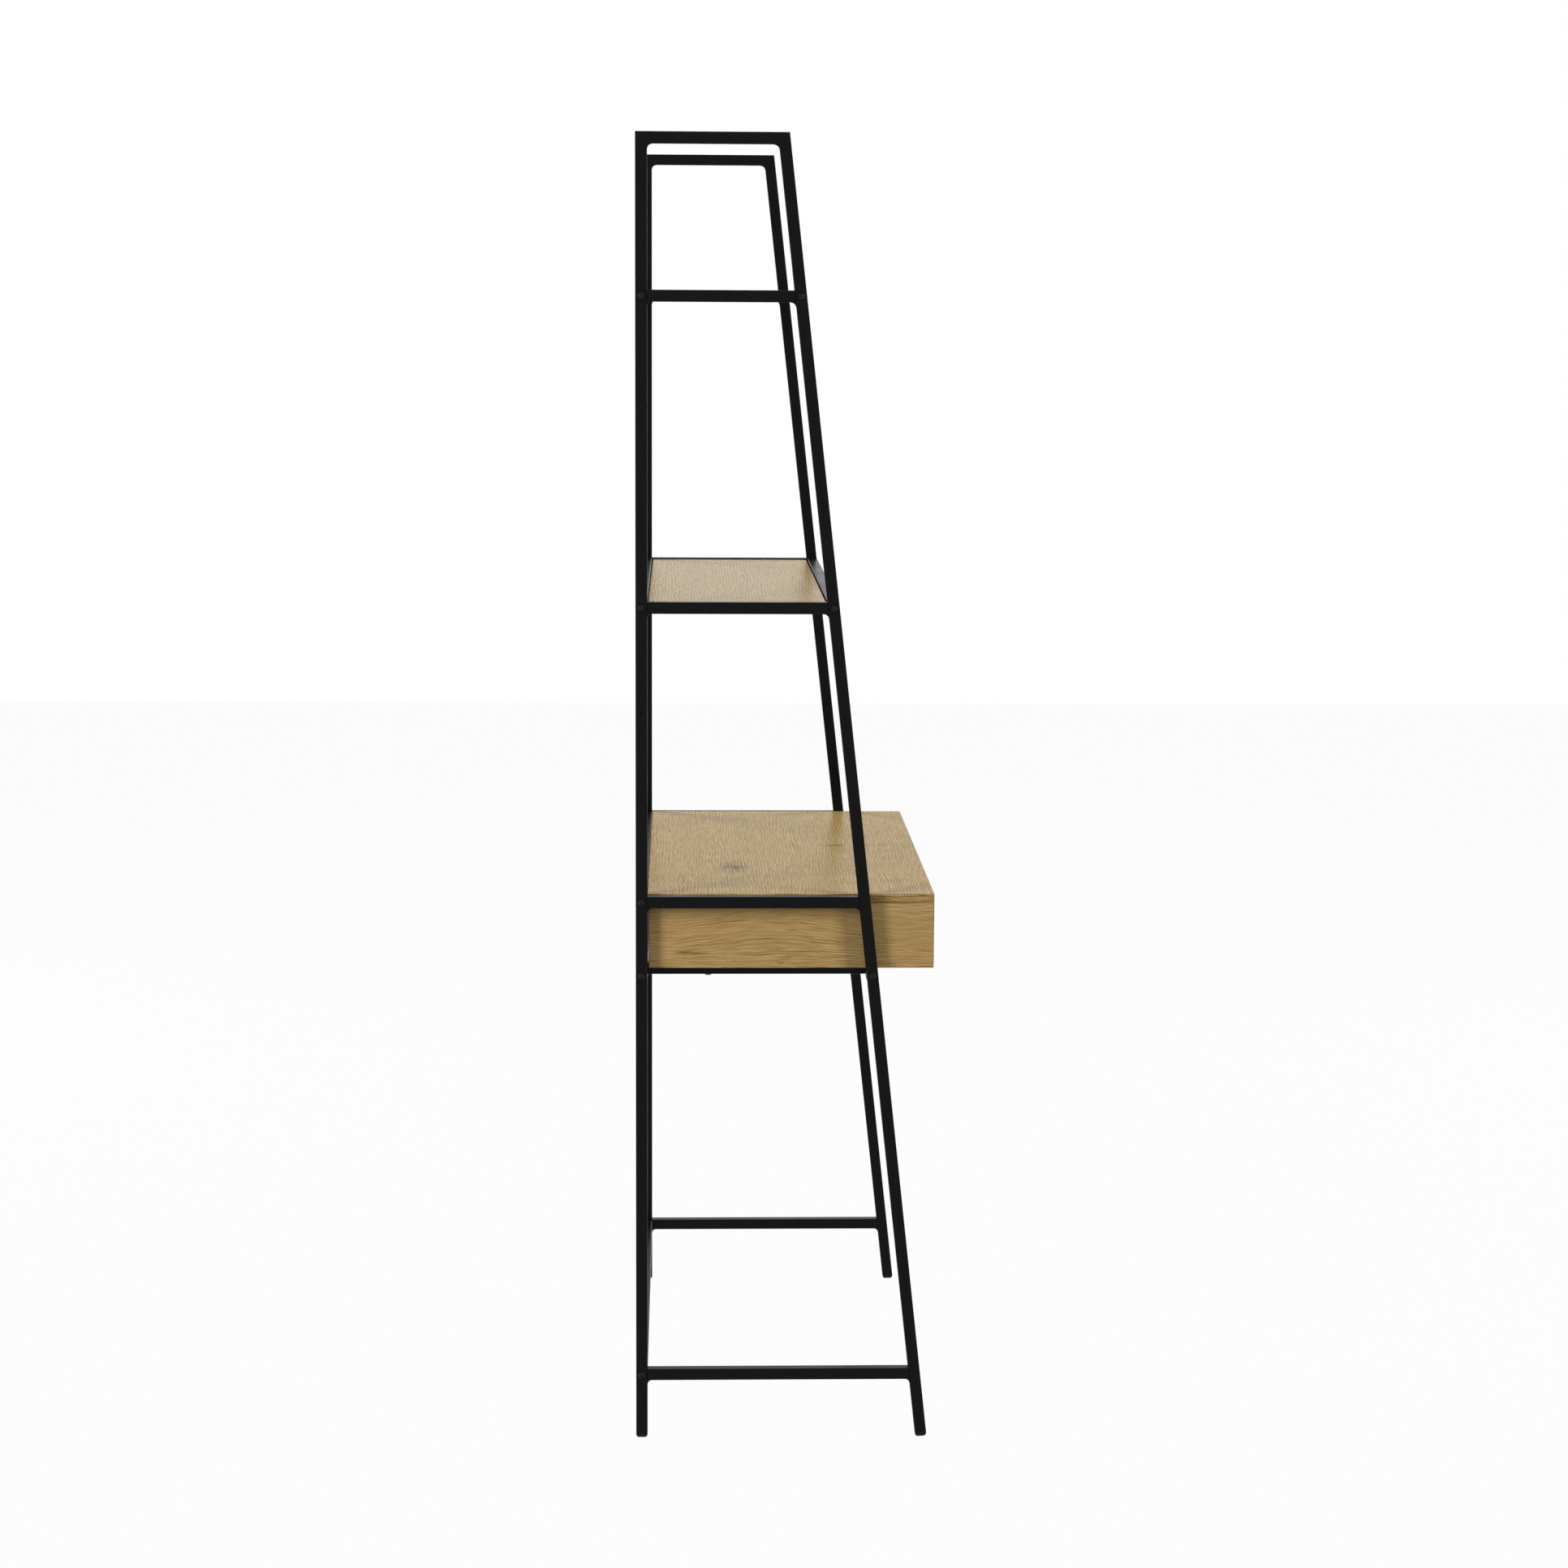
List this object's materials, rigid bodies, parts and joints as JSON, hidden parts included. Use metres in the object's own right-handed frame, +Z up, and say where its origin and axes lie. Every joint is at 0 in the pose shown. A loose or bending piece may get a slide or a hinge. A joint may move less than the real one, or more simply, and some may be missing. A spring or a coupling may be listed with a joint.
{
  "type": "ladder desk",
  "caption": "Ladder-style desk: black tube side frames with a sloping front leg, open shelves above, and an oak-look desk box holding a drawer on ball slides.",
  "frame": {"origin": "on the floor, in the middle of the footprint", "axes": "+Z up, -Y towards the person who sits at the desk, +Y towards the wall, X across the desk from left to right as seen by that person"},
  "size_m": [0.7766, 0.411, 1.8],
  "materials": {
    "black_steel": "satin black powder coat",
    "oak_board": "matt oak-look decor foil",
    "drawer_board": "matt light oak-look foil",
    "drawer_panel": "painted hardboard",
    "beech_dowel": "ribbed beech",
    "black_bolt": "black zinc",
    "zinc_steel": "bright zinc plate",
    "zinc_alloy": "cast zinc alloy",
    "slide_steel": "zinc-plated rolled steel",
    "ball_steel": "polished",
    "black_plastic": "matt moulded"
  },
  "bodies": {
    "root": {"box_back": "oak_board", "box_bottom": "oak_board", "box_dowels": "beech_dowel", "cam_bolts": "zinc_steel", "cam_locks": "zinc_alloy", "channel_screws": "zinc_steel", "desk_rear_rail": "black_steel", "desktop": "oak_board", "foot_rear_rail": "black_steel", "frame_bolts": "black_bolt", "front_feet": "black_plastic", "left_box_side": "oak_board", "left_desk_rail": "black_steel", "left_foot_rail": "black_steel", "left_frame_welds": "black_steel", "left_front_leg": "black_steel", "left_lower_shelf_rail": "black_steel", "left_rear_leg": "black_steel", "left_slide_channel": "slide_steel", "left_top_rail": "black_steel", "left_under_desk_rail": "black_steel", "left_upper_shelf_rail": "black_steel", "lower_shelf": "oak_board", "lower_shelf_front_rail": "black_steel", "lower_shelf_rear_rail": "black_steel", "rail_inserts": "zinc_steel", "rear_feet": "black_plastic", "right_box_side": "oak_board", "right_desk_rail": "black_steel", "right_foot_rail": "black_steel", "right_frame_welds": "black_steel", "right_front_leg": "black_steel", "right_lower_shelf_rail": "black_steel", "right_rear_leg": "black_steel", "right_slide_channel": "slide_steel", "right_top_rail": "black_steel", "right_under_desk_rail": "black_steel", "right_upper_shelf_rail": "black_steel", "shelf_screws": "black_bolt", "shelf_tabs": "black_steel", "under_desk_front_rail": "black_steel", "under_desk_rear_rail": "black_steel", "under_desk_screws": "black_bolt", "upper_shelf": "oak_board", "upper_shelf_front_rail": "black_steel", "upper_shelf_rear_rail": "black_steel"},
    "drawer": {"drawer_front": "oak_board", "left_drawer_side": "drawer_board", "right_drawer_side": "drawer_board", "drawer_back": "drawer_board", "drawer_bottom": "drawer_panel", "drawer_dowels": "beech_dowel", "drawer_screws": "zinc_steel", "left_slide_bar": "slide_steel", "right_slide_bar": "slide_steel", "bar_screws": "zinc_steel"},
    "cages": {"ball_cages": "slide_steel", "slide_balls": "ball_steel"}
  },
  "joints": [
    {"name": "drawer_slide", "type": "slide", "parent": "root", "child": "drawer", "axis": [0, -1, 0], "range_m": [0, 0.25]},
    {"name": "cage_slide", "type": "slide", "parent": "root", "child": "cages", "axis": [0, -1, 0], "range_m": [0, 0.125]}
  ],
  "couplings": [
    {"joint": "cage_slide", "follows": "drawer_slide", "ratio": 0.5}
  ]
}
